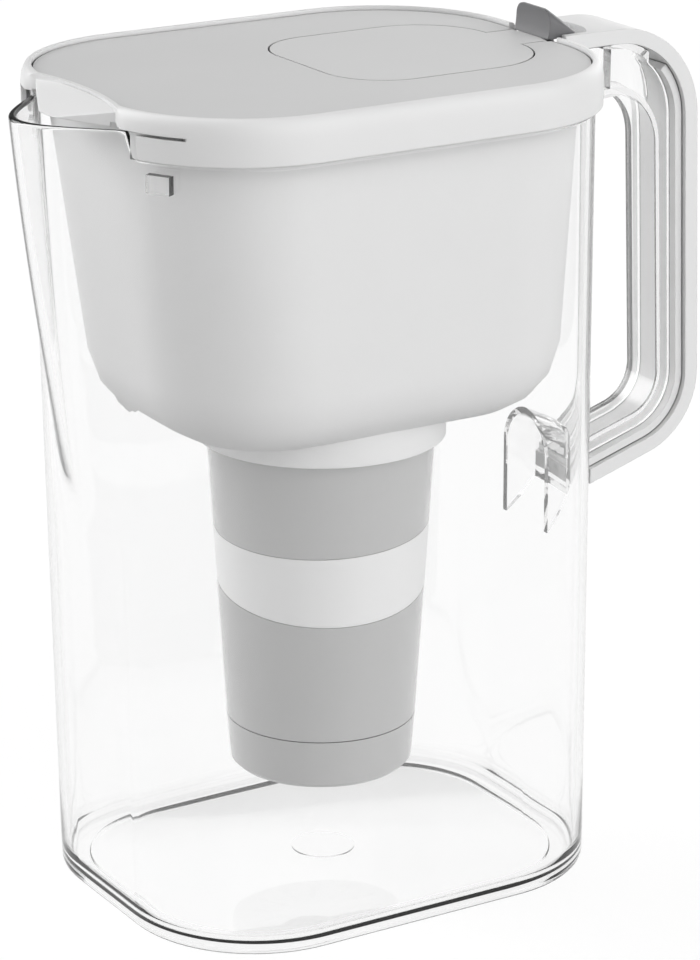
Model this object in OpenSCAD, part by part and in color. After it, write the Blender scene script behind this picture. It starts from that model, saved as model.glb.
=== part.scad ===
// Water filter pitcher with a flip-up filling flap.
// Clear jug, light lid frame, grey lid plate, lift-out reservoir and a filter.
// Origin: middle of the jug's foot at table level. +X points to the handle,
// -X to the pouring spout, +Z up. The pitcher is symmetric about Y = 0.

/* [Jug] */
// how much shorter the foot is than the mouth
foot_in_l = 4; // [0:0.5:10]
// how much narrower the foot is than the mouth
foot_in_w = 2.5; // [0:0.5:8]
// corner radius of the jug at its foot
base_r = 44; // [34:1:50]
// length of the jug at its mouth
top_l = 166; // [162:1:176]
// width of the jug at its mouth
top_w = 130.5; // [126:0.5:136]
// corner radius of the jug at its mouth
top_r = 45.5; // [38:0.5:50]
// how far the mouth leans towards the spout
top_shift = 3.5; // [2:0.5:5]
// height of the jug's top edge above the table
jug_h = 261; // [250:1:275]
// wall thickness of the clear jug
jug_wall = 2.5; // [2:0.1:3]
// thickness of the jug's floor
floor_t = 4; // [3:0.2:6]
// width of the standing rim around the foot
foot_rim = 9.5; // [7:0.5:14]
// how deep the underside is hollowed inside the rim
foot_recess = 1.6; // [0.8:0.1:2.4]
// radius of the round gate pad in the middle of the underside
gate_pad_r = 10; // [6:0.5:14]

/* [Spout] */
// distance from the middle of the jug to the spout's tip
spout_reach = 106.7; // [100:0.5:112]
// radius of the spout's nose at its top edge
spout_nose_r = 8.5; // [6:0.5:12]
// half width of the spout where it meets the wall
spout_half_w = 27; // [20:1:34]
// height at which the spout has run out into the wall
spout_low = 120; // [90:5:150]

/* [Handle] */
// distance from the middle of the jug to the handle's outside, at the upper bend
handle_reach = 134.8; // [128:0.2:142]
// how much further out the handle stands at its lower bend
handle_lean = 3.2; // [0:0.2:5]
// outside radius of the upper bend
bend_up_r = 32; // [27:1:36]
// outside radius of the lower bend
bend_low_r = 26.5; // [22:0.5:32]
// height of the middle of the lower bend
bend_low_z = 148.5; // [138:0.5:160]
// half width of the outer band
band_half_w = 13.4; // [11:0.2:15]
// thickness of the outer band
band_t = 4.8; // [3.6:0.2:6]
// half width of the grip strip at the band
grip_half_w = 11.6; // [9:0.2:13]
// thickness of the grip strip
grip_t = 2.6; // [2:0.2:4]
// gap between the band and the grip strip
grip_gap = 0.3; // [0.2:0.1:0.8]
// half width of the clear core along the grip
core_half_w = 8.5; // [6:0.5:11]
// depth of the clear core from the band to the finger side
core_depth = 13; // [11:0.5:16]
// depth of the handle's top arm, from the band to the finger side
arm_depth = 22; // [18:0.5:24]
// wall thickness of the hollow clear core
core_wall = 2.2; // [1.8:0.1:3]
// half width of the clear roots that join the core to the jug
root_half_w = 13; // [12.8:0.2:13.4]
// distance from the middle to the end of the band's lower arm
arm_end_x = 95.5; // [93:0.5:98]
// depth of the thumb tab's pocket below the top of the band
pocket_depth = 19.6; // [17:0.2:20.4]
// length of the slot over that pocket, from the jug's edge
slot_l = 15.9; // [15.4:0.1:17]

/* [Lid] */
// height of the lid frame's top edge above the jug's edge
lid_rise = 7; // [6.4:0.1:8]
// how far the frame stands outside the jug's mouth at spout and handle
lid_over = 2.3; // [2.2:0.1:3]
// how far the frame stands outside the jug's mouth at its long sides
lid_side = 2.95; // [2.4:0.05:3.4]
// wall thickness of the frame's skirt
skirt_t = 1.7; // [1.4:0.1:2]
// how far the skirt reaches down below the jug's edge
skirt_drop = 7.4; // [5:0.2:10]
// height above the jug's edge of the crease between shoulder and skirt
crease_rise = 1.5; // [1.2:0.1:2.4]
// thickness of the raised lip around the plate
lip_t = 3.4; // [2.6:0.1:4.4]
// thickness of the lid plate
plate_t = 3.6; // [3:0.1:4.2]
// groove between the frame's lip and the plate
plate_gap = 0.6; // [0.3:0.1:1]
// thickness of the lip along the hollow front edge
front_lip_t = 1.4; // [1:0.1:2.4]
// depth of the hollow in the front edge of the lid, above the spout
front_sag = 4.5; // [2:0.5:6]
// half width of that hollow
front_half_w = 31; // [24:1:34]
// distance from the middle to the tip of the beak over the spout
beak_reach = 97.5; // [93:0.5:99]

/* [Flap] */
// end of the flap on the spout side
flap_front = -7.2; // [-14:0.2:0]
// distance from the flap's wide part to the jug's edge on the handle side
flap_inset = 12.5; // [10.5:0.5:18]
// half width of the flap
flap_half_w = 34.7; // [28:0.2:40]
// corner radius on the spout side
flap_r_front = 20; // [12:1:26]
// corner radius on the handle side
flap_r_back = 25; // [14:1:28]
// half width of the neck that reaches the thumb tab
neck_half_w = 9.8; // [9.6:0.1:10.4]
// thickness of the flap
flap_t = 2.2; // [1.8:0.1:2.4]
// gap around the flap
flap_gap = 0.6; // [0.4:0.1:1]
// distance of the hinge pin outside the jug's edge
hinge_out = 0.5; // [-0.4:0.1:1]
// height of the hinge pin above the jug's edge
hinge_rise = 2.5; // [2.4:0.1:2.8]
// radius of the hinge pin
pin_r = 1.2; // [0.9:0.1:1.4]
// running clearance around the hinge pin
pin_clear = 0.05; // [0.02:0.01:0.1]
// height of the thumb tab above the lid plate
tab_h = 9.4; // [6:0.2:12]
// length of the thumb tab
tab_l = 14; // [10:0.5:14.5]
// half width of the thumb tab
tab_half_w = 9.6; // [8:0.2:10]

/* [Reservoir] */
// gap between the reservoir and the jug's inner wall at the top
res_gap = 2.3; // [1.6:0.1:4]
// wall thickness of the reservoir
res_wall = 2.2; // [1.8:0.1:3]
// height of the reservoir's underside
res_z = 155.5; // [145:0.5:170]
// how much shorter than the mouth the reservoir's underside is, over its rounding
res_in_l = 25; // [18:1:36]
// how much narrower than the mouth the reservoir's underside is, over its rounding
res_in_w = 24.5; // [18:0.5:32]
// radius of the rounding around the underside
res_round = 22; // [14:1:26]
// corner radius of the reservoir
res_r = 40; // [36:1:42]
// distance of the filter's axis from the middle, towards the spout
filter_off = 1; // [0:0.5:3]
// bore of the filter socket in the reservoir
socket_r = 37.4; // [36:0.1:39]
// how far the socket collar reaches down below the reservoir
collar_h = 8; // [7:0.5:11]

/* [Filter] */
// outside radius of the filter at the socket
filter_r = 37; // [35:0.1:37.2]
// outside radius of the filter at its lower seam
filter_low_r = 30.6; // [27:0.1:33]
// height of the seam above the bottom cup
seam_z = 52; // [45:0.5:62]
// height of the filter's underside
filter_z = 35.7; // [28:0.5:44]
// wall thickness of the filter shell
shell_t = 1.8; // [1.4:0.1:2.4]
// thickness of the end discs of the pleated media
disc_t = 3; // [2:0.2:4]
// radius of the core tube in the media
tube_r = 5; // [4:0.2:6]
// height of the filter's domed cap above its rim
cap_h = 14.4; // [12:0.2:18]
// middle height of the wave band's upper edge
wave_top = 118; // [108:1:126]
// middle height of the wave band's lower edge
wave_low = 98.5; // [84:0.5:104]

/* [Hidden] */
$fn = 64;
eps = 0.01;
seat = 0.2;

base_l = top_l - foot_in_l;
base_w = top_w - foot_in_w;
mouth_x0 = -top_shift - top_l / 2;
mouth_x1 = -top_shift + top_l / 2;
lid_h = jug_h + lid_rise;
skirt_z = jug_h - skirt_drop;
crease_z = jug_h + crease_rise;
edge_z = skirt_z - 0.6;
spout_zone = spout_half_w + 4;
hinge_x = mouth_x1 + hinge_out;
hinge_z = jug_h + hinge_rise;
flap_back = mouth_x1 - flap_inset;
slot_end_x = mouth_x1 + slot_l;
res_low_l = top_l - res_in_l;
res_low_w = top_w - res_in_w;
// handle outline: the same arcs, moved inwards by o
bend_up_x = handle_reach - bend_up_r;
bend_up_z = lid_h - bend_up_r;
bend_low_x = handle_reach + handle_lean - bend_low_r;
arm_a = -73;
lean_a = 2.1;
function arc(x, z, r, a0, a1, n) =
    [for (i = [0:n]) let (a = a0 + (a1 - a0) * i / n) [x + r * cos(a), z + r * sin(a)]];
function arm_point(o, x) =
    let (r = bend_low_r - o, px = bend_low_x + r * cos(arm_a), pz = bend_low_z + r * sin(arm_a))
    [x, pz + (x - px) * cos(arm_a) / -sin(arm_a)];
function path(o, x0, x1) = concat([[x0, lid_h - o]],
    arc(bend_up_x, bend_up_z, bend_up_r - o, 90, lean_a, 24),
    arc(bend_low_x, bend_low_z, bend_low_r - o, lean_a, arm_a, 20), [arm_point(o, x1)]);
root_z = arm_point(0, arm_end_x)[1];
function reversed(v) = [for (i = [len(v) - 1:-1:0]) v[i]];

lid_l = top_l + 2 * lid_over;
lid_w = top_w + 2 * lid_side;
lid_r = top_r + 3;
flange_z0 = jug_h;
flange_z1 = jug_h + 1.8;
plate_z0 = flange_z1 + seat;
plate_z1 = plate_z0 + plate_t;
flap_z0 = plate_z1 - flap_t;
sag_r = (front_half_w * front_half_w + front_sag * front_sag) / (2 * front_sag);
lid_x0 = -top_shift - lid_l / 2;
sag_x = lid_x0 + 1.2 + front_sag - sag_r;
filter_slope = (filter_r - filter_low_r) / (res_z + 2 - seam_z);
slot_r = 17;
collar_z = res_z - collar_h;
seal_z = collar_z + 2.5;
rim_z = res_z + res_wall + 0.4;
cap_z = rim_z + cap_h;
media_z = seam_z + 5.4 + disc_t;
media_h = seal_z - seam_z - 17 - disc_t;
media_r = filter_low_r - 3.6;
wave_z0 = wave_low - 14;
wave_z1 = wave_top + 10;
snap_y = front_half_w + 6;

light = [0.86, 0.86, 0.86];
clear = [0.85, 0.9, 0.93, 0.35];
grey = [0.72, 0.72, 0.73];
mid = [0.55, 0.55, 0.56];
dark = [0.36, 0.36, 0.37];
white = [0.95, 0.95, 0.95];

function filter_at(z) = filter_low_r + (z - seam_z) * filter_slope;

// rounded rectangle made of true arcs
module plan(l, w, r, x = 0) {
    translate([x, 0]) {
        square([l, w - 2 * r], center = true);
        square([l - 2 * r, w], center = true);
        for (sx = [-1, 1], sy = [-1, 1])
            translate([sx * (l / 2 - r), sy * (w / 2 - r)])
                circle(r = r);
    }
}

module prism(l, w, r, x, z0, z1) {
    translate([0, 0, z0])
        linear_extrude(height = z1 - z0)
            plan(l, w, r, x);
}

// thin slice used as a corner of a tapered body
module slice(l, w, r, x, z) {
    for (sx = [-1, 1], sy = [-1, 1])
        translate([x + sx * (l / 2 - r), sy * (w / 2 - r), z])
            cylinder(r = r, h = eps);
}

// a body that stands straight out along Y, drawn as an outline in X and Z
module across(half) {
    rotate([90, 0, 0])
        linear_extrude(height = 2 * half, center = true)
            children();
}

// outside of the jug at a fraction f of its height
function jug_l(f) = base_l + (top_l - base_l) * f;
function jug_w(f) = base_w + (top_w - base_w) * f;
module jug_body(o, z0, z1) {
    f0 = z0 / jug_h;
    f1 = z1 / jug_h;
    c = 2.5;
    hull() {
        slice(base_l - 2 * o - 2 * c, base_w - 2 * o - 2 * c, base_r - o - c, -top_shift * f0, z0);
        slice(jug_l(f0) - 2 * o, jug_w(f0) - 2 * o, base_r - o, -top_shift * f0, z0 + c);
        slice(jug_l(f1) - 2 * o, jug_w(f1) - 2 * o, top_r - o, -top_shift * f1, z1 - eps);
    }
}

module spout_body(o, z1) {
    mid_z = spout_low + (jug_h - spout_low) * 0.62;
    hull() {
        translate([-spout_reach + spout_nose_r, 0, z1 - eps])
            cylinder(r = spout_nose_r - o, h = eps);
        translate([-spout_reach + 6.2 + spout_nose_r, 0, mid_z])
            cylinder(r = spout_nose_r - 0.5 - o, h = eps);
        translate([mouth_x0 + 8, 0, spout_low + 6 * o])
            cylinder(r = 6 - o, h = eps);
        for (s = [-1, 1]) {
            translate([mouth_x0 + 6, s * (spout_half_w - 4), z1 - eps])
                cylinder(r = 5 - o, h = eps);
            translate([mouth_x0 + 8, s * (spout_half_w - 11), mid_z])
                cylinder(r = 5 - o, h = eps);
        }
    }
}

// finger side of the clear core, o inside its face: deep along the top arm, slimmer down the grip
function finger_side(o, x0, x1) = concat([[x0, lid_h - arm_depth + o]],
    arc(bend_up_x, bend_up_z + core_depth - arm_depth, bend_up_r - core_depth + o, 90, lean_a, 24),
    arc(bend_low_x, bend_low_z, bend_low_r - core_depth + o, lean_a, arm_a, 20),
    [arm_point(core_depth - o, x1)]);

// side view of the clear core, between its outer face and its finger side
module core_outline(o, x1) {
    x0 = mouth_x1 - 1;
    polygon(concat(path(band_t + grip_t + 2 * grip_gap, x0, x1), reversed(finger_side(o, x0, x1))));
}

// the wide top arm narrows to the grip's width at the bend
module arm_plan(half, low_half) {
    x0 = mouth_x1 - 10;
    x1 = bend_up_x - 4;
    x2 = bend_up_x + 15;
    x3 = bend_up_x + 24;
    translate([0, 0, lid_h - 68])
        linear_extrude(height = 100)
            polygon([[x0, -half], [x1, -half], [x2, -low_half], [x3, -low_half],
                [x3, low_half], [x2, low_half], [x1, half], [x0, half]]);
}

// arch-shaped root that carries the lower end of the core, o inside its faces
module root_hood(o) {
    r = root_half_w + 1.6 - o;
    end_r = root_half_w - o;
    f = root_z / jug_h;
    wall_x = jug_l(f) / 2 - top_shift * f - 1.7;
    hull() {
        translate([wall_x, 0, root_z + 26.1 - o - r])
            rotate([0, 90, 0])
                cylinder(r = r, h = 0.5, $fn = 48);
        translate([wall_x, -r, root_z - 14.9 - 4 * o])
            cube([0.5, 2 * r, 5]);
        translate([arm_end_x - 1.1 - o, -end_r, root_z - 1.3 - 4 * o])
            cube([0.6, 2 * end_r, 5]);
        for (s = [-1, 1])
            translate([arm_end_x - 1.1 - o, s * (end_r - 6), root_z + 19.1 - o - 6])
                rotate([0, 90, 0])
                    cylinder(r = 6, h = 0.6, $fn = 32);
    }
}

module handle_core() color(clear) {
    i = band_t + grip_gap;
    x0 = mouth_x1 - 6;
    difference() {
        union() {
            // run along the grip
            across(core_half_w)
                core_outline(0, arm_end_x - 2);
            // wide top arm under the band
            intersection() {
                across(root_half_w)
                    polygon(concat([[x0, lid_h - i]], arc(bend_up_x, bend_up_z, bend_up_r - i, 90, 55, 8),
                        reversed([for (p = finger_side(0, x0, 100)) if (p[1] > lid_h - 30) p])));
                arm_plan(root_half_w, core_half_w);
            }
            root_hood(0);
        }
        // the hollow along the grip, open towards the grip strip
        across(core_half_w - core_wall)
            polygon(concat(path(band_t + grip_t, bend_up_x - 3, arm_end_x + 1),
                reversed(finger_side(core_wall, bend_up_x - 3, arm_end_x + 1))));
        // pocket for the thumb tab
        intersection() {
            across(root_half_w - core_wall)
                polygon([[x0, lid_h - pocket_depth], [slot_end_x + 5.6, lid_h - pocket_depth],
                    [slot_end_x + 5.6, lid_h + 12], [x0, lid_h + 12]]);
            arm_plan(root_half_w - core_wall, core_half_w - core_wall);
        }
        // room for the hinge and the plate's ears
        translate([x0, -(root_half_w - core_wall), edge_z])
            cube([10, 2 * (root_half_w - core_wall), 20]);
        translate([x0, -root_half_w - 1, jug_h - 4])
            cube([10.5, 2 * root_half_w + 2, 20]);
        // the root is hollow and open below
        intersection() {
            root_hood(core_wall);
            translate([x0, -30, root_z - 56])
                cube([60, 60, 90]);
        }
        // it is welded to the outside of the jug's wall
        jug_body(0, 0, jug_h);
        translate([x0 - 1, -30, jug_h - 1])
            cube([mouth_x1 - x0 + 1, 60, 20]);
    }
}

module lid_lug(s) {
    // small clear lug on the outside of the wall, below the skirt's front end
    translate([mouth_x0 + top_r, s * (top_w / 2 - top_r), skirt_z - 9.1])
        rotate([0, 0, s * 150])
            translate([top_r - jug_wall, -4, 0])
                cube([4.6, 8, 5.6]);
}

module jug() color(clear) {
    difference() {
        union() {
            difference() {
                jug_body(0, 0, jug_h);
                // the edge is lower where the lid's skirt stands over it, and stays high beside the spout
                difference() {
                    translate([-200, -200, edge_z])
                        cube([400, 400, 40]);
                    translate([mouth_x0 - 10, -spout_zone, 0])
                        cube([30, 2 * spout_zone, 400]);
                }
            }
            spout_body(0, jug_h);
            lid_lug(1);
            lid_lug(-1);
        }
        jug_body(jug_wall, floor_t, jug_h + 1);
        spout_body(jug_wall - 0.2, jug_h + 1);
        // hollow underside, with the gate pad left standing
        difference() {
            prism(base_l - 2 * foot_rim, base_w - 2 * foot_rim, base_r - foot_rim + 3, 0, -1, foot_recess);
            translate([0, 0, -2])
                cylinder(r = gate_pad_r, h = 10);
        }
    }
}

module handle_band() color(light) {
    x0 = mouth_x1 + lid_over + 0.4;
    difference() {
        across(band_half_w)
            polygon(concat(path(0, x0, arm_end_x), reversed(path(band_t, x0, arm_end_x))));
        // slot for the thumb tab
        translate([0, 0, lid_h - band_t - 1])
            intersection() {
                translate([slot_end_x - slot_r, 0, 0])
                    cylinder(r = slot_r, h = band_t + 2);
                translate([slot_end_x - 50, -(root_half_w - core_wall), 0])
                    cube([60, 2 * (root_half_w - core_wall), band_t + 2]);
            }
    }
}

module handle_grip() color(mid) {
    i = band_t + grip_gap;
    // the strip starts half way round the upper bend
    x0 = bend_up_x + 19;
    across(grip_half_w)
        polygon(concat([for (p = path(i, 0, arm_end_x + 0.6)) if (p[0] > x0 || p[1] < 200) p],
            reversed([for (p = path(i + grip_t, 0, arm_end_x + 0.6)) if (p[0] > x0 - 2 || p[1] < 200) p])));
}

// outline of the reservoir o inside its outer face, between its floor and the height z1
module reservoir_body(o, z1) {
    z0 = res_z + o;
    top_lx = top_l - 2 * (jug_wall + res_gap + o);
    top_wx = top_w - 2 * (jug_wall + res_gap + o);
    hull() {
        for (h = [0, 1.6, 5.5, 12])
            let (q = res_round - sqrt(res_round * res_round - (res_round - h) * (res_round - h)))
                slice(res_low_l - 2 * o - 2 * q + h * 0.15, res_low_w - 2 * o - 2 * q + h * 0.12,
                    res_r - o - q, 2 - h * 0.05, z0 + h);
        slice(res_low_l - 2 * o + 3.3, res_low_w - 2 * o + 2.6, res_r - o, 0.9, z0 + res_round);
        slice(top_lx, top_wx, res_r + 1 - o, -top_shift, z1 - eps);
    }
}

module reservoir() color(light) {
    difference() {
        union() {
            reservoir_body(0, flange_z1);
            // turned-down rim that hangs on the jug's edge, open over the spout and round the hinge
            difference() {
                prism(top_l - 1, top_w - 1, top_r - 0.5, -top_shift, edge_z, flange_z1);
                prism(top_l - 2 * jug_wall, top_w - 2 * jug_wall, top_r - jug_wall, -top_shift, edge_z - 1,
                    flange_z0);
                translate([mouth_x0 - 20, -spout_zone - 0.4, edge_z - 1])
                    cube([30, 2 * spout_zone + 0.8, 20]);
                translate([mouth_x1 - 10, -root_half_w - 0.4, edge_z - 1])
                    cube([20, 2 * root_half_w + 0.8, 20]);
            }
            // collar of the filter socket
            translate([-filter_off, 0, collar_z])
                cylinder(r = socket_r + 2.4, h = res_z - collar_z + 4);
        }
        reservoir_body(res_wall, flange_z1 + 1);
        translate([-filter_off, 0, collar_z - 1])
            cylinder(r = socket_r, h = 30);
        // flat seat for the filter's rim
        translate([-filter_off, 0, res_z + res_wall])
            cylinder(r = socket_r + 1.8, h = 12);
        // the top edge is lower at the hinge
        translate([mouth_x1 - 8.5, -root_half_w - 0.4, flange_z0 - 2])
            cube([20, 2 * root_half_w + 0.8, 6]);
    }
}

module lid_outline(o, z0, z1) {
    prism(lid_l - 2 * o, lid_w - 2 * o, lid_r - o, -top_shift, z0, z1);
}

// the concave front edge of the lid, o inside it
module front_hollow(o, z0, z1) {
    translate([sag_x, 0, z0])
        cylinder(r = sag_r + o, h = z1 - z0, $fn = 240);
}

// a section in outward distance and height, swept round a rounded rectangle
module swept(l, w, r, x) {
    for (i = [0:3]) {
        sx = (i == 0 || i == 3) ? 1 : -1;
        sy = i < 2 ? 1 : -1;
        translate([x + sx * (l / 2 - r), sy * (w / 2 - r), 0])
            rotate([0, 0, 90 * i])
                rotate_extrude(angle = 90, $fn = 128)
                    translate([r, 0])
                        children();
    }
    for (s = [-1, 1]) {
        translate([x + s * (l / 2 - r), 0, 0])
            rotate([90, 0, s > 0 ? 0 : 180])
                linear_extrude(height = w - 2 * r, center = true)
                    translate([r, 0])
                        children();
        translate([x, s * (w / 2 - r), 0])
            rotate([90, 0, s * 90])
                linear_extrude(height = l - 2 * r, center = true)
                    translate([r, 0])
                        children();
    }
}

// roof over the spout, sloping down to a rounded tip
module beak() {
    intersection() {
        hull() {
            translate([lid_x0 + 4.6, -front_half_w + 1, flange_z1])
                cube([2.4, 2 * front_half_w - 2, lid_h - 1 - flange_z1]);
            translate([-beak_reach + 6, 0, jug_h - 1.7])
                cylinder(r = 6, h = 1.6, $fn = 32);
            for (s = [-1, 1])
                translate([lid_x0 + 4, s * (spout_half_w - 4.5), jug_h - 0.4])
                    cylinder(r = 2.4, h = 4, $fn = 32);
        }
        translate([-beak_reach - 1, -50, jug_h + 0.5])
            cube([50, 100, 20]);
    }
}

// section through the frame: skirt, crease, rounded shoulder and lip
module frame_section() {
    rise = lid_h - crease_z;
    polygon(concat([[0, skirt_z + 0.6], [0, crease_z]],
        [for (a = [15:15:75]) [-2.4 * (1 - cos(a)) - 0.1, crease_z + rise * sin(a)]],
        [[-2.5, lid_h], [-lip_t - 1, lid_h], [-lip_t - 1, skirt_z], [-0.6, skirt_z]]));
}

module lid_frame() color(light) {
    slit_z = crease_z - 1.2;
    slit_h = 0.9;
    difference() {
        union() {
            difference() {
                union() {
                    swept(lid_l, lid_w, lid_r, -top_shift)
                        frame_section();
                    // bar behind the front edge
                    intersection() {
                        lid_outline(2.6, flange_z1 - 1, lid_h);
                        front_hollow(front_lip_t + 1, flange_z1 - 2, lid_h + 1);
                    }
                }
                // the front edge is hollowed above the spout
                intersection() {
                    front_hollow(0, skirt_z - 1, lid_h + 1);
                    translate([-200, -front_half_w, 0])
                        cube([150, 2 * front_half_w, 400]);
                }
                // the skirt stops at both front corners
                translate([-140, -snap_y, skirt_z - 1])
                    cube([80, 2 * snap_y, slit_z + slit_h - skirt_z + 1]);
                // slits that free the skirt's snap ends
                for (s = [-1, 1])
                    translate([lid_x0 - 4, s * (snap_y + 7) - 8, slit_z])
                        cube([16, 16, slit_h]);
            }
            beak();
        }
        // space for the jug's edge and the reservoir's flange
        lid_outline(skirt_t, skirt_z - 1, flange_z1 + seat / 2);
        // space for the plate
        difference() {
            lid_outline(lip_t, flange_z1, lid_h + 1);
            front_hollow(front_lip_t, flange_z1 - 1, lid_h + 2);
        }
        // notch for the thumb tab and the handle's upper root
        translate([mouth_x1 - 7.5, -(root_half_w + 0.6), skirt_z - 1])
            cube([20, 2 * (root_half_w + 0.6), 30]);
    }
}

module flap_outline(o) {
    hull() {
        for (s = [-1, 1]) {
            translate([flap_front + flap_r_front, s * (flap_half_w - flap_r_front)])
                circle(r = flap_r_front + o);
            translate([flap_back - flap_r_back, s * (flap_half_w - flap_r_back)])
                circle(r = flap_r_back + o);
        }
    }
    translate([flap_back - 12, -neck_half_w - o])
        square([hinge_x - flap_back + 9, 2 * (neck_half_w + o)]);
}

module lid_plate() color(grey) {
    difference() {
        union() {
            difference() {
                lid_outline(lip_t + plate_gap, plate_z0, plate_z1);
                front_hollow(front_lip_t + plate_gap, plate_z0 - 1, plate_z1 + 1);
                // seat of the flap
                translate([0, 0, flap_z0 - 0.1])
                    linear_extrude(height = 10)
                        flap_outline(flap_gap);
                // filling hole under the flap
                translate([0, 0, plate_z0 - 1])
                    linear_extrude(height = 10)
                        plan(flap_back - flap_front - 10, 2 * flap_half_w - 8, 17,
                            (flap_back + flap_front) / 2);
                // clearance under the thumb tab
                translate([hinge_x - 3.6, -11.4, plate_z0 - 1])
                    cube([20, 22.8, 20]);
                translate([hinge_x - 9.5, -6.9, plate_z0 - 1])
                    cube([20, 13.8, 20]);
            }
            // two ears that carry the hinge pin
            for (s = [-1, 1])
                translate([0, s * 8.3, 0]) {
                    translate([hinge_x, 0, hinge_z])
                        rotate([90, 0, 0])
                            cylinder(r = 2.3, h = 2.2, center = true, $fn = 48);
                    translate([hinge_x - 9, -1.1, hinge_z - 1.9])
                        cube([9, 2.2, flap_z0 - 0.2 - hinge_z + 1.9]);
                }
        }
        translate([hinge_x, 0, hinge_z])
            rotate([90, 0, 0])
                cylinder(r = pin_r + pin_clear, h = 30, center = true);
    }
}

module flap() color(grey) {
    difference() {
        union() {
            difference() {
                translate([0, 0, flap_z0])
                    linear_extrude(height = flap_t)
                        flap_outline(0);
                translate([hinge_x - 3, -20, flap_z0 - 1])
                    cube([20, 40, 10]);
                // slots over the two ears
                for (s = [-1, 1])
                    translate([hinge_x - 4, s * 8.3 - 1.6, flap_z0 - 1])
                        cube([20, 3.2, 1.6]);
            }
            // barrel on the hinge pin
            translate([hinge_x, 0, hinge_z])
                rotate([90, 0, 0])
                    cylinder(r = 2.3, h = 13.4, center = true, $fn = 48);
            translate([hinge_x - 6, -6.7, hinge_z + 0.2])
                cube([8, 13.4, plate_z1 - hinge_z - 0.2]);
        }
        translate([hinge_x, 0, hinge_z])
            rotate([90, 0, 0])
                cylinder(r = pin_r + pin_clear, h = 30, center = true);
        // holes for the thumb tab's pegs
        for (s = [-1, 1])
            translate([hinge_x - 1.6 + 0.6, s * 4, plate_z1 - 1.2])
                cylinder(r = 0.9, h = 5, $fn = 32);
    }
}

module thumb_tab() color(dark) {
    x0 = hinge_x - 2.6;
    z0 = plate_z1;
    difference() {
        hull() {
            // front edge, with rounded upper corners
            for (s = [-1, 1]) {
                translate([x0 + 1, s * (tab_half_w - 4), z0 + tab_h - 4])
                    rotate([0, 90, 0])
                        cylinder(r = 4, h = 1.4, center = true, $fn = 32);
                translate([x0 + 1, s * (tab_half_w - 0.7), z0])
                    cylinder(r = 0.7, h = 1, $fn = 32);
                // low back corners
                translate([x0 + tab_l - 4, s * (tab_half_w - 2.4), z0])
                    cylinder(r = 2, h = 1.2, $fn = 32);
            }
            translate([x0 + tab_l - 1, 0, z0])
                cylinder(r = 2.4, h = 1, $fn = 32);
        }
        // hollow face for the thumb
        translate([x0 - 24, 0, z0 + 6])
            rotate([90, 0, 0])
                cylinder(r = 25.1, h = 60, center = true, $fn = 160);
    }
    for (s = [-1, 1])
        translate([hinge_x - 1, s * 4, plate_z1 - 1])
            cylinder(r = 0.85, h = 2, $fn = 32);
}

module hinge_pin() color(white) {
    translate([hinge_x, 0, hinge_z])
        rotate([90, 0, 0])
            cylinder(r = pin_r, h = 18.4, center = true);
}

module on_axis() {
    translate([-filter_off, 0, 0])
        children();
}

// region between the two wave edges
module wave_zone(g) {
    difference() {
        translate([0, 0, wave_top])
            rotate([3, -3, 0])
                translate([0, 0, -80 + g])
                    cylinder(r = 60, h = 80);
        translate([0, 0, wave_low])
            rotate([10, -4, 0])
                translate([0, 0, -90 - g])
                    cylinder(r = 60, h = 90);
    }
}

module filter_shell() color(mid) on_axis() {
    low = seam_z + 0.3;
    groove_r = filter_at(seal_z) - 1.05;
    difference() {
        rotate_extrude($fn = 128)
            polygon([[filter_at(low) - shell_t, low], [filter_at(low), low],
                [groove_r + 0.95, seal_z - 3], [groove_r, seal_z - 2], [groove_r, seal_z + 2],
                [groove_r + 1.15, seal_z + 3], [filter_at(rim_z), rim_z], [socket_r + 1.5, rim_z],
                [socket_r + 1.5, rim_z + 2.2], [filter_at(rim_z) - shell_t, rim_z + 2.2],
                [filter_at(rim_z) - shell_t, seal_z + 3], [groove_r - shell_t, seal_z - 2]]);
        // shallow recess for the wave band
        intersection() {
            rotate_extrude($fn = 128)
                polygon([[filter_at(wave_z0) - 0.8, wave_z0], [60, wave_z0], [60, wave_z1],
                    [filter_at(wave_z1) - 0.8, wave_z1]]);
            wave_zone(0.15);
        }
    }
}

module wave_band() color(white) on_axis() {
    intersection() {
        rotate_extrude($fn = 128)
            polygon([[filter_at(wave_z0) - 0.75, wave_z0], [filter_at(wave_z0) + 0.05, wave_z0],
                [filter_at(wave_z1) + 0.05, wave_z1], [filter_at(wave_z1) - 0.75, wave_z1]]);
        wave_zone(0);
    }
}

module bottom_cup() color(mid) on_axis() {
    low = filter_at(filter_z) - 0.2;
    difference() {
        rotate_extrude($fn = 128)
            polygon([[0, filter_z], [low - 1.5, filter_z], [low, filter_z + 1.5], [filter_low_r, seam_z],
                [filter_low_r - shell_t - 0.3, seam_z], [filter_low_r - shell_t - 0.3, seam_z + 4],
                [filter_low_r - 2 * shell_t, seam_z + 4], [low - shell_t, filter_z + shell_t],
                [0, filter_z + shell_t]]);
        // outlet slots
        for (a = [0:30:330])
            rotate([0, 0, a])
                translate([10, -1, filter_z - 1])
                    cube([13, 2, 4]);
    }
}

module outlet_screen() color(white) on_axis() {
    translate([0, 0, seam_z + 4.2])
        difference() {
            cylinder(r = filter_low_r - 2 * shell_t + 1.2, h = 0.8, $fn = 96);
            for (a = [0:30:330], d = [8, 14, 20])
                rotate([0, 0, a])
                    translate([d, 0, -1])
                        cylinder(r = 1.1, h = 3, $fn = 24);
        }
}

module lower_end_disc() color(white) on_axis() {
    translate([0, 0, seam_z + 5.2])
        difference() {
            cylinder(r = media_r + 0.4, h = disc_t, $fn = 96);
            translate([0, 0, -1])
                cylinder(r = tube_r + seat, h = disc_t + 2);
        }
}

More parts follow.
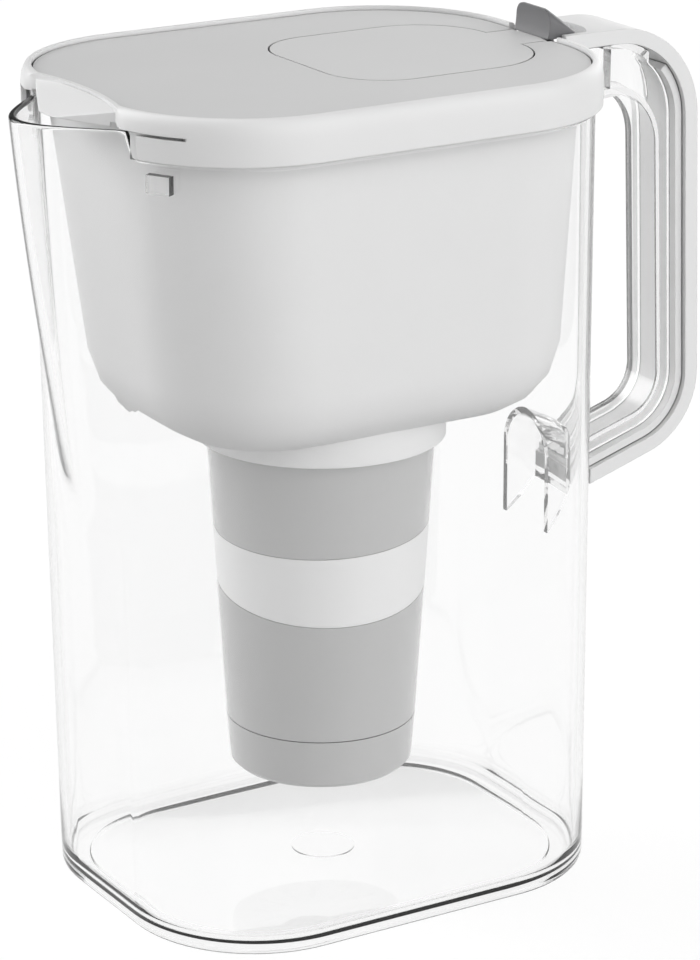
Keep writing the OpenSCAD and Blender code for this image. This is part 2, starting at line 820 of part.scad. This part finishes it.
module core_tube() color(white) on_axis() {
    difference() {
        translate([0, 0, seam_z + 5.4])
            cylinder(r = tube_r, h = media_h + 2 * disc_t - 0.6);
        translate([0, 0, seam_z + 5.2])
            cylinder(r = tube_r - 1.2, h = media_h + 2 * disc_t + 2);
        for (i = [1:6])
            translate([0, 0, media_z + i * media_h / 7])
                rotate([90, 0, 0])
                    cylinder(r = 1.5, h = 20, center = true, $fn = 24);
    }
}

module pleated_media() color(white) on_axis() {
    n = 28;
    translate([0, 0, media_z])
        linear_extrude(height = media_h)
            difference() {
                polygon([for (i = [0:2 * n - 1])
                    let (a = 180 * i / n, r = i % 2 == 0 ? media_r : media_r - 3) [r * cos(a), r * sin(a)]]);
                circle(r = media_r - 15);
            }
}

module upper_end_disc() color(white) on_axis() {
    translate([0, 0, media_z + media_h + seat])
        difference() {
            cylinder(r = media_r + 2, h = disc_t, $fn = 96);
            translate([0, 0, -1])
                cylinder(r = tube_r + seat, h = disc_t + 0.6);
        }
}

module seal_ring() color(dark) on_axis() {
    translate([0, 0, seal_z])
        rotate_extrude($fn = 128)
            translate([filter_at(seal_z) - 0.12, 0])
                circle(r = 0.8, $fn = 32);
}

module filter_top_cap() color(mid) on_axis() {
    cap_r = filter_r - 0.6;
    low = rim_z + 2.4;
    difference() {
        rotate_extrude($fn = 128)
            polygon([[0, cap_z], [cap_r - 22.4, cap_z], [cap_r - 6.4, cap_z - 4.5],
                [cap_r - 0.4, cap_z - 9.9], [cap_r, low], [cap_r - 2.4, low], [cap_r - 3.4, cap_z - 10.1], [cap_r - 7.8, cap_z - 6.5],
                [cap_r - 23.4, cap_z - 2.1], [0, cap_z - 2.1]]);
        for (a = [0:20:340])
            rotate([0, 0, a])
                translate([cap_r / 2, -1, low - 0.5])
                    cube([cap_r * 0.38, 2, 20]);
    }
}

module inlet_screen() color(white) on_axis() {
    translate([0, 0, rim_z + 2.4])
        difference() {
            cylinder(r = filter_r - 4.4, h = 0.8, $fn = 96);
            for (a = [0:30:330], d = [9, 16, 23])
                rotate([0, 0, a])
                    translate([d, 0, -1])
                        cylinder(r = 1.4, h = 3, $fn = 24);
        }
}

module pull_loop() color(mid) on_axis() {
    translate([0, 0, cap_z + 0.2])
        difference() {
            rotate([90, 0, 0])
                cylinder(r = 12, h = 5, center = true);
            rotate([90, 0, 0])
                cylinder(r = 9, h = 8, center = true);
            translate([-20, -10, -20])
                cube([40, 20, 20]);
        }
}

jug();
handle_core();
handle_grip();
handle_band();
reservoir();
lid_frame();
lid_plate();
flap();
thumb_tab();
hinge_pin();
filter_shell();
wave_band();
bottom_cup();
pleated_media();
core_tube();
upper_end_disc();
lower_end_disc();
outlet_screen();
inlet_screen();
filter_top_cap();
seal_ring();
pull_loop();
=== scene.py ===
"""Looks of the water filter pitcher: materials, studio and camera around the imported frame."""
import math

import bmesh
import bpy
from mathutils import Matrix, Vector


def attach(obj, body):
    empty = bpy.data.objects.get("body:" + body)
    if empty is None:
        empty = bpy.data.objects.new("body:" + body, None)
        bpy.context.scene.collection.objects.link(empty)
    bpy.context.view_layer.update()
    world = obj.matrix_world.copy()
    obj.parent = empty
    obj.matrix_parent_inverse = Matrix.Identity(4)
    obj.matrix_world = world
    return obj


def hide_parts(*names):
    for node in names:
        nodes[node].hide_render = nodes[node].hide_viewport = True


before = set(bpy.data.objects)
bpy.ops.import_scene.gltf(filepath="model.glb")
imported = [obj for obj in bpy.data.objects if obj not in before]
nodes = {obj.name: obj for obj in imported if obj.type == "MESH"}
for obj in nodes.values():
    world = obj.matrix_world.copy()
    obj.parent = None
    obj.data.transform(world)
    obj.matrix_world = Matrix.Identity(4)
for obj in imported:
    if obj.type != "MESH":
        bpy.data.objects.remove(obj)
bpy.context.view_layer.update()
scene = bpy.context.scene

# Camera: the photograph's view, found by fitting the foot, walls and lid.
CAMERA_AZ = -31.0
CAMERA_EL = 18.5
CAMERA_DISTANCE = 1.2128
CAMERA_TARGET = Vector((0.0, 0.0, 0.1339))
CAMERA_LENS = 141.9
CAMERA_SHIFT = (0.0288, -0.0121)

# The clear jug in millimetres. The sizes are those of the part's source, except for the spout's soft form.
MM = 0.001
JUG_H = 261.0
EDGE_Z = 253.0
JUG_WALL = 2.5
FLOOR_T = 4.0
FOOT = (162.0, 128.0, 44.0)
MOUTH = (166.0, 130.5, 45.5)
MOUTH_SHIFT = 3.5
FOOT_ROUND = 3.0
RIM_ROUND = 0.9
RECESS = (143.0, 109.0, 37.5)
RECESS_DEPTH = 1.6
RECESS_EDGE = 0.4
GATE_R = 10.0
GATE_LOW = 1.1
FLOOR_FILLET = 4.0
# Spout: reach at the top, height where it starts, share of its height over which it swells up,
# half width at the top, how much narrower it is at the bottom, and how blunt its outline is.
SPOUT_OUT = 20.2
SPOUT_LOW = 120.0
SPOUT_START = 0.12
SPOUT_ZONE = 31.0
SPOUT_NARROW = 7.0
SPOUT_BLUNT = 1.6
# The edge steps down beside the spout over this width, in front of this X.
STEP_WIDTH = 3.0
FRONT_X = -60.0
# Rings of the wall below the spout, and their spacing beside it.
WALL_HEIGHTS = (10.0, 30.0, 60.0, 90.0, 112.0)
RING_STEP = 5.0
# Lugs: depth from the wall's inside, width and height; lower edge; direction round the corner in degrees;
# and how far they sink into the wall.
LUG = (4.6, 8.0, 5.6)
LUG_Z = 244.5
LUG_TURN = 150.0
LUG_SINK = 0.5

# What camera and glass see of the world, which is a little over white.
SEEN_WHITE = 1.1
# The floor's half size in metres, its own tone, its glow, and the glow's share for camera, glass and gloss.
FLOOR_HALF = 6.0
FLOOR_TONE = 0.45
FLOOR_GLOW = 1.27
FLOOR_SHARE = 0.68

# Painted shade in narrow seams, gaps and inside corners: how far the ambient occlusion reaches, and how
# dark the painted shade gets.
CREVICE_SHADE_DEPTH = 0.0016
CREVICE_SHADE_TONE = 0.25


def direction(az, el):
    """Unit vector that points away from the object at an azimuth and elevation in degrees."""
    a, e = math.radians(az), math.radians(el)
    return Vector((math.sin(a) * math.cos(e), -math.cos(a) * math.cos(e), math.sin(e)))


# Studio light: base level, then (direction, level, cosine where the light fades out).
WORLD_BASE = 0.13
WORLD_LIGHTS = [
    (direction(14, 7), 2.55, 0.49),
    (direction(-140, 25), 4.7, 0.8),
    (direction(120, 10), 2.5, 0.85),
    (direction(0, 90), 0.43, 0.56),
]


def link_nodes(tree):
    """Short calls for making and joining shader nodes in one tree."""
    def make(kind, **values):
        node = tree.nodes.new(kind)
        for name, value in values.items():
            setattr(node, name, value)
        return node

    def join(a, out, b, socket):
        tree.links.new(a.outputs[out], b.inputs[socket])
    return make, join


def moulded(name, colour, rough=0.45, grain=0.00035, bump=0.05, spread=0.03, edge=0.0004, specular=0.5):
    """Moulded plastic: fine grain, faint flow marks, painted shade that darkens narrow seams, gaps and
    inside corners, softly rounded edges.
    """
    material = bpy.data.materials.new(name)
    material.use_nodes = True
    tree = material.node_tree
    make, join = link_nodes(tree)
    shader = tree.nodes["Principled BSDF"]
    place = make("ShaderNodeTexCoord")

    flow = make("ShaderNodeTexNoise")
    flow.inputs["Scale"].default_value = 18.0
    flow.inputs["Detail"].default_value = 3.0
    join(place, "Object", flow, "Vector")
    tint = make("ShaderNodeMix", data_type="RGBA")
    dark = [c * (1.0 - spread) for c in colour] + [1.0]
    pale = [min(1.0, c * (1.0 + spread)) for c in colour] + [1.0]
    tint.inputs[6].default_value = dark
    tint.inputs[7].default_value = pale
    join(flow, "Fac", tint, "Factor")
    # Painted shade: ambient occlusion darkens the colour in seams, gaps and inside corners, where shade
    # falls.
    crevice_ao = make("ShaderNodeAmbientOcclusion", samples=6)
    crevice_ao.inputs["Distance"].default_value = CREVICE_SHADE_DEPTH
    painted_shade = make("ShaderNodeMapRange")
    painted_shade.inputs["From Min"].default_value = 0.25
    painted_shade.inputs["From Max"].default_value = 0.6
    painted_shade.inputs["To Min"].default_value = CREVICE_SHADE_TONE
    join(crevice_ao, "AO", painted_shade, "Value")
    shade = make("ShaderNodeMix", data_type="RGBA", blend_type="MULTIPLY")
    shade.inputs["Factor"].default_value = 1.0
    join(tint, 2, shade, 6)
    join(painted_shade, "Result", shade, 7)
    join(shade, 2, shader, "Base Color")

    fine = make("ShaderNodeTexNoise")
    fine.inputs["Scale"].default_value = 1.0 / grain
    fine.inputs["Detail"].default_value = 2.0
    join(place, "Object", fine, "Vector")
    gloss = make("ShaderNodeMapRange")
    gloss.inputs["To Min"].default_value = rough - 0.05
    gloss.inputs["To Max"].default_value = rough + 0.06
    join(fine, "Fac", gloss, "Value")
    join(gloss, "Result", shader, "Roughness")

    rounded = make("ShaderNodeBevel", samples=4)
    rounded.inputs["Radius"].default_value = edge
    skin = make("ShaderNodeBump")
    skin.inputs["Strength"].default_value = bump
    skin.inputs["Distance"].default_value = 0.0001
    join(fine, "Fac", skin, "Height")
    join(rounded, "Normal", skin, "Normal")
    join(skin, "Normal", shader, "Normal")
    shader.inputs["Specular IOR Level"].default_value = specular
    return material


def clear_plastic(name, colour, density):
    """Clear moulded plastic with a faint ripple, and absorption that greys its long edges."""
    material = bpy.data.materials.new(name)
    material.use_nodes = True
    tree = material.node_tree
    make, join = link_nodes(tree)
    shader = tree.nodes["Principled BSDF"]
    shader.inputs["Base Color"].default_value = (*colour, 1.0)
    shader.inputs["Transmission Weight"].default_value = 1.0
    shader.inputs["IOR"].default_value = 1.49
    place = make("ShaderNodeTexCoord")
    haze = make("ShaderNodeTexNoise")
    haze.inputs["Scale"].default_value = 40.0
    haze.inputs["Detail"].default_value = 4.0
    join(place, "Object", haze, "Vector")
    gloss = make("ShaderNodeMapRange")
    gloss.inputs["To Min"].default_value = 0.0
    gloss.inputs["To Max"].default_value = 0.03
    join(haze, "Fac", gloss, "Value")
    join(gloss, "Result", shader, "Roughness")
    through = make("ShaderNodeBsdfTransparent")
    through.inputs["Color"].default_value = (1.0, 1.0, 1.0, 1.0)
    path = make("ShaderNodeLightPath")
    inside = make("ShaderNodeMath", operation="MAXIMUM")
    join(path, "Is Shadow Ray", inside, 0)
    join(path, "Is Diffuse Ray", inside, 1)
    mix = make("ShaderNodeMixShader")
    join(inside, 0, mix, 0)
    join(shader, "BSDF", mix, 1)
    join(through, "BSDF", mix, 2)
    join(mix, "Shader", tree.nodes["Material Output"], "Surface")
    depth = make("ShaderNodeVolumeAbsorption")
    depth.inputs["Color"].default_value = (0.0, 0.0, 0.0, 1.0)
    depth.inputs["Density"].default_value = density
    join(depth, "Volume", tree.nodes["Material Output"], "Volume")
    return material


def fleece(name, colour):
    """Pleated filter fleece: matte fibres with a fine weave of noise."""
    return moulded(name, colour, rough=0.85, grain=0.0006, bump=0.35, spread=0.06, specular=0.2)


def rounded(length, width, radius, cx):
    """Points round a rounded rectangle, always the same number in the same order."""
    points = []
    flat_x, flat_y = length / 2 - radius, width / 2 - radius

    def straight(x0, y0, x1, y1, count):
        for i in range(count):
            t = i / count
            points.append((cx + x0 + (x1 - x0) * t, y0 + (y1 - y0) * t))

    def corner(sx, sy, start, count=28):
        for i in range(count):
            a = math.radians(start + 90 * i / count)
            points.append((cx + sx * flat_x + radius * math.cos(a), sy * flat_y + radius * math.sin(a)))

    straight(length / 2, 0, length / 2, flat_y, 8)
    corner(1, 1, 0)
    straight(flat_x, width / 2, -flat_x, width / 2, 20)
    corner(-1, 1, 90)
    straight(-length / 2, flat_y, -length / 2, -flat_y, 56)
    corner(-1, -1, 180)
    straight(-flat_x, -width / 2, flat_x, -width / 2, 20)
    corner(1, -1, 270)
    straight(length / 2, -flat_y, length / 2, 0, 8)
    return points


def inwards(points, inset):
    """The same outline moved inwards."""
    moved = []
    for i, (x, y) in enumerate(points):
        x0, y0 = points[i - 1]
        x1, y1 = points[(i + 1) % len(points)]
        tx, ty = x1 - x0, y1 - y0
        size = math.hypot(tx, ty)
        moved.append((x - inset * ty / size, y + inset * tx / size))
    return moved


def jug_outline(z, inset=0.0):
    """Outline of the jug at a height, with the spout swelling out of the front wall in one smooth bell."""
    f = z / JUG_H
    length, width, radius = (a + (b - a) * f for a, b in zip(FOOT, MOUTH))
    cx = -MOUTH_SHIFT * f
    points = rounded(length, width, radius, cx)
    t = (z - SPOUT_LOW) / (JUG_H - SPOUT_LOW)
    if t > 0:
        reach = SPOUT_OUT * (1.5 * t - 0.5 * t * t) * (1.0 - math.exp(-(t / SPOUT_START) ** 2))
        half = SPOUT_ZONE - SPOUT_NARROW * (1.0 - t)
        points = [
            (x - (reach * (1.0 - (y / half) ** 2) ** SPOUT_BLUNT if x < cx and abs(y) < half else 0.0), y)
            for x, y in points
        ]
    return inwards(points, inset)


def jug_ring(z, inset=0.0, lift=0.0):
    """A ring of the wall, squeezed down to the lower edge above the spout's start, except at the spout."""
    high = [(x, y, z + lift) for x, y in jug_outline(z, inset)]
    if z <= SPOUT_LOW:
        return high
    z_low = SPOUT_LOW + (z - SPOUT_LOW) * (EDGE_Z - SPOUT_LOW) / (JUG_H - SPOUT_LOW)
    low = [(x, y, z_low + lift) for x, y in jug_outline(z_low, inset)]
    ring = []
    for a, b in zip(low, high):
        share = (SPOUT_ZONE + STEP_WIDTH / 2 - abs(b[1])) / STEP_WIDTH if b[0] < FRONT_X else 0.0
        share = min(1.0, max(0.0, share))
        ring.append(tuple(p + (q - p) * share for p, q in zip(a, b)))
    return ring


def jug_rings():
    """All rings of the jug: gate pad, hollow underside, foot, wall, rim, inner wall and floor."""
    def flat(points, z):
        return [(x, y, z) for x, y in points]

    foot = jug_outline(0.0)
    pad = [(GATE_R * math.cos(a), GATE_R * math.sin(a)) for a in (math.atan2(y, x) for x, y in foot)]
    recess = rounded(*RECESS, 0.0)
    rings = [flat(pad, GATE_LOW), flat(pad, RECESS_DEPTH), flat(recess, RECESS_DEPTH)]
    rings += [flat(recess, RECESS_EDGE), flat(inwards(recess, -RECESS_EDGE), 0.0)]
    for i in range(7):
        a = math.radians(15 * i)
        rings.append(flat(jug_outline(0.0, FOOT_ROUND * (1 - math.sin(a))), FOOT_ROUND * (1 - math.cos(a))))
    steps = math.ceil((JUG_H - SPOUT_LOW) / RING_STEP)
    heights = list(WALL_HEIGHTS) + [SPOUT_LOW + RING_STEP * i for i in range(steps)]
    rings += [jug_ring(z) for z in heights]
    for i in range(5):
        a = math.radians(22.5 * i)
        rings.append(jug_ring(JUG_H - RIM_ROUND, RIM_ROUND * (1 - math.cos(a)), RIM_ROUND * math.sin(a)))
    for i in range(5):
        a = math.radians(90 - 22.5 * i)
        inset = JUG_WALL - RIM_ROUND * (1 - math.cos(a))
        rings.append(jug_ring(JUG_H - RIM_ROUND, inset, RIM_ROUND * math.sin(a)))
    rings += [jug_ring(z, JUG_WALL) for z in reversed(heights)]
    for i in range(1, 7):
        a = math.radians(15 * i)
        z = FLOOR_T + FLOOR_FILLET * (1 - math.sin(a))
        rings.append(flat(jug_outline(z, JUG_WALL + FLOOR_FILLET * (1 - math.cos(a))), z))
    return rings


def new_piece(name, mesh, node, body):
    """A shown piece that stands for a CAD node and rides on its body."""
    obj = bpy.data.objects.new(name, mesh)
    scene.collection.objects.link(obj)
    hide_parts(node)
    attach(obj, body)
    return obj


def smooth_by_angle(mesh, degrees):
    """Smooth shading with sharp edges kept."""
    work = bmesh.new()
    work.from_mesh(mesh)
    for face in work.faces:
        face.smooth = True
    for edge in work.edges:
        edge.smooth = edge.is_manifold and edge.calc_face_angle(0.0) < math.radians(degrees)
    work.to_mesh(mesh)
    work.free()


LUG_FACES = ((0, 3, 2, 1), (4, 5, 6, 7), (0, 1, 5, 4), (1, 2, 6, 5), (2, 3, 7, 6), (3, 0, 4, 7))


def lug_points(side):
    """Corners of one lug, which stands on the outside of the front corner of the wall."""
    length, width, radius = MOUTH
    cx = -MOUTH_SHIFT - length / 2 + radius
    cy = side * (width / 2 - radius)
    turn = math.radians(side * LUG_TURN)
    points = []
    for z in (LUG_Z, LUG_Z + LUG[2]):
        for r, w in ((0, -1), (1, -1), (1, 1), (0, 1)):
            x, y = radius - LUG_SINK + r * (LUG[0] - JUG_WALL + LUG_SINK), w * LUG[1] / 2
            points.append(Vector((cx + x * math.cos(turn) - y * math.sin(turn),
                                  cy + x * math.sin(turn) + y * math.cos(turn), z)) * MM)
    return points


def clear_jug():
    """The jug as one smooth loft, with the two small lugs below the lid's snap ends."""
    rings = jug_rings()
    count = len(rings[0])
    points = [Vector(p) * MM for ring in rings for p in ring]
    faces = []
    for k in range(len(rings) - 1):
        for i in range(count):
            j = (i + 1) % count
            faces.append((k * count + i, k * count + j, (k + 1) * count + j, (k + 1) * count + i))
    faces.append(tuple(reversed(range(count))))
    faces.append(tuple((len(rings) - 1) * count + i for i in range(count)))
    for side in (1, -1):
        faces += [tuple(len(points) + i for i in face) for face in LUG_FACES]
        points += lug_points(side)
    mesh = bpy.data.meshes.new("clear_jug")
    mesh.from_pydata(points, [], faces)
    smooth_by_angle(mesh, 40)
    return new_piece("clear_jug", mesh, "jug", "jug_body")


def smooth_copy(node, body, degrees=35):
    """A CAD node welded and shaded smooth, without its hull facets."""
    work = bmesh.new()
    work.from_mesh(nodes[node].data)
    bmesh.ops.remove_doubles(work, verts=work.verts, dist=2e-6)
    mesh = bpy.data.meshes.new(node + "_smooth")
    work.to_mesh(mesh)
    work.free()
    smooth_by_angle(mesh, degrees)
    return new_piece(node + "_smooth", mesh, node, body)


MATERIALS = {
    "clear": clear_plastic("clear_plastic", (1.0, 1.0, 1.0), 8.0),
    "light": moulded("light_plastic", (0.76, 0.76, 0.76), rough=0.42),
    "reservoir": moulded("reservoir_plastic", (0.81, 0.81, 0.81), rough=0.6, specular=0.3),
    "plate": moulded("grey_plastic", (0.6, 0.6, 0.6), rough=0.5, bump=0.09),
    "flap": moulded("flap_plastic", (0.615, 0.615, 0.615), rough=0.5, bump=0.09),
    "filter": moulded("filter_plastic", (0.47, 0.47, 0.47), rough=0.12, specular=1.0),
    "grip": moulded("grip_plastic", (0.74, 0.74, 0.74), rough=0.4),
    "dark": moulded("dark_plastic", (0.14, 0.14, 0.145), rough=0.4),
    "white": moulded("white_plastic", (0.84, 0.84, 0.84), rough=0.45),
    "fleece": fleece("filter_fleece", (0.8, 0.8, 0.78)),
    "rubber": moulded("seal_rubber", (0.05, 0.05, 0.05), rough=0.7, specular=0.3),
}
FINISH = {
    "jug": "clear", "handle_core": "clear", "handle_grip": "grip", "handle_band": "light",
    "reservoir": "reservoir", "lid_frame": "light", "lid_plate": "plate", "flap": "flap",
    "thumb_tab": "dark", "hinge_pin": "white", "filter_shell": "filter", "wave_band": "white",
    "bottom_cup": "filter", "pleated_media": "fleece", "core_tube": "white", "upper_end_disc": "white",
    "lower_end_disc": "white", "outlet_screen": "white", "inlet_screen": "white",
    "filter_top_cap": "filter", "seal_ring": "rubber", "pull_loop": "filter",
}


def dress(obj, material):
    """Puts one material on all of an object."""
    obj.data.materials.clear()
    obj.data.materials.append(material)


for node, finish in FINISH.items():
    dress(nodes[node], MATERIALS[finish])
dress(clear_jug(), MATERIALS["clear"])
dress(smooth_copy("handle_core", "jug_body"), MATERIALS["clear"])
dress(smooth_copy("reservoir", "reservoir_body"), MATERIALS["reservoir"])
dress(smooth_copy("lid_frame", "lid_body"), MATERIALS["light"])
dress(smooth_copy("thumb_tab", "flap_body"), MATERIALS["dark"])


def studio_world():
    """White to the camera and to glass, and soft broad lights from both sides and above for the rest."""
    world = bpy.data.worlds.new("studio")
    scene.world = world
    world.use_nodes = True
    tree = world.node_tree
    make, join = link_nodes(tree)
    back = tree.nodes["Background"]
    place = make("ShaderNodeTexCoord")
    total = make("ShaderNodeValue")
    total.outputs[0].default_value = WORLD_BASE
    for where, level, start in WORLD_LIGHTS:
        facing = make("ShaderNodeVectorMath", operation="DOT_PRODUCT")
        facing.inputs[1].default_value = where
        join(place, "Generated", facing, 0)
        soft = make("ShaderNodeMapRange", interpolation_type="SMOOTHSTEP")
        soft.inputs["From Min"].default_value = start
        soft.inputs["From Max"].default_value = 1.0
        soft.inputs["To Max"].default_value = level
        join(facing, "Value", soft, "Value")
        add = make("ShaderNodeMath", operation="ADD")
        join(total, 0, add, 0)
        join(soft, 0, add, 1)
        total = add
    path = make("ShaderNodeLightPath")
    white = make("ShaderNodeMath", operation="MAXIMUM")
    join(path, "Is Camera Ray", white, 0)
    join(path, "Is Transmission Ray", white, 1)
    seen = make("ShaderNodeMix", data_type="FLOAT")
    join(white, 0, seen, "Factor")
    join(total, 0, seen, 2)
    seen.inputs[3].default_value = SEEN_WHITE
    join(seen, 0, back, "Strength")
    back.inputs["Color"].default_value = (1.0, 1.0, 1.0, 1.0)


def floor():
    """Plain white floor, which keeps a faint shadow of the object."""
    mesh = bpy.data.meshes.new("floor")
    corners = [(x * FLOOR_HALF, y * FLOOR_HALF, 0) for x, y in ((-1, -1), (1, -1), (1, 1), (-1, 1))]
    mesh.from_pydata(corners, [], [(0, 1, 2, 3)])
    obj = bpy.data.objects.new("floor", mesh)
    obj.location.z = -0.0002
    scene.collection.objects.link(obj)
    material = bpy.data.materials.new("floor_white")
    material.use_nodes = True
    tree = material.node_tree
    make, join = link_nodes(tree)
    shader = tree.nodes["Principled BSDF"]
    shader.inputs["Base Color"].default_value = (FLOOR_TONE, FLOOR_TONE, FLOOR_TONE, 1.0)
    shader.inputs["Roughness"].default_value = 0.9
    glow = make("ShaderNodeEmission")
    glow.inputs["Strength"].default_value = FLOOR_GLOW
    path = make("ShaderNodeLightPath")
    either = make("ShaderNodeMath", operation="ADD", use_clamp=True)
    join(path, "Is Camera Ray", either, 0)
    join(path, "Is Transmission Ray", either, 1)
    all_three = make("ShaderNodeMath", operation="ADD", use_clamp=True)
    join(either, 0, all_three, 0)
    join(path, "Is Glossy Ray", all_three, 1)
    share = make("ShaderNodeMath", operation="MULTIPLY")
    share.inputs[1].default_value = FLOOR_SHARE
    join(all_three, 0, share, 0)
    mix = make("ShaderNodeMixShader")
    join(share, 0, mix, 0)
    join(shader, "BSDF", mix, 1)
    join(glow, "Emission", mix, 2)
    join(mix, "Shader", tree.nodes["Material Output"], "Surface")
    mesh.materials.append(material)


def camera():
    """The photograph's camera."""
    data = bpy.data.cameras.new("camera")
    data.sensor_fit = "AUTO"
    data.sensor_width = 36.0
    data.lens = CAMERA_LENS
    data.shift_x, data.shift_y = CAMERA_SHIFT
    data.clip_start = 0.05
    obj = bpy.data.objects.new("camera", data)
    back = direction(CAMERA_AZ, CAMERA_EL)
    obj.location = CAMERA_TARGET + CAMERA_DISTANCE * back
    obj.rotation_euler = back.to_track_quat("Z", "Y").to_euler()
    scene.collection.objects.link(obj)
    scene.camera = obj


studio_world()
floor()
camera()
scene.view_settings.view_transform = "Standard"
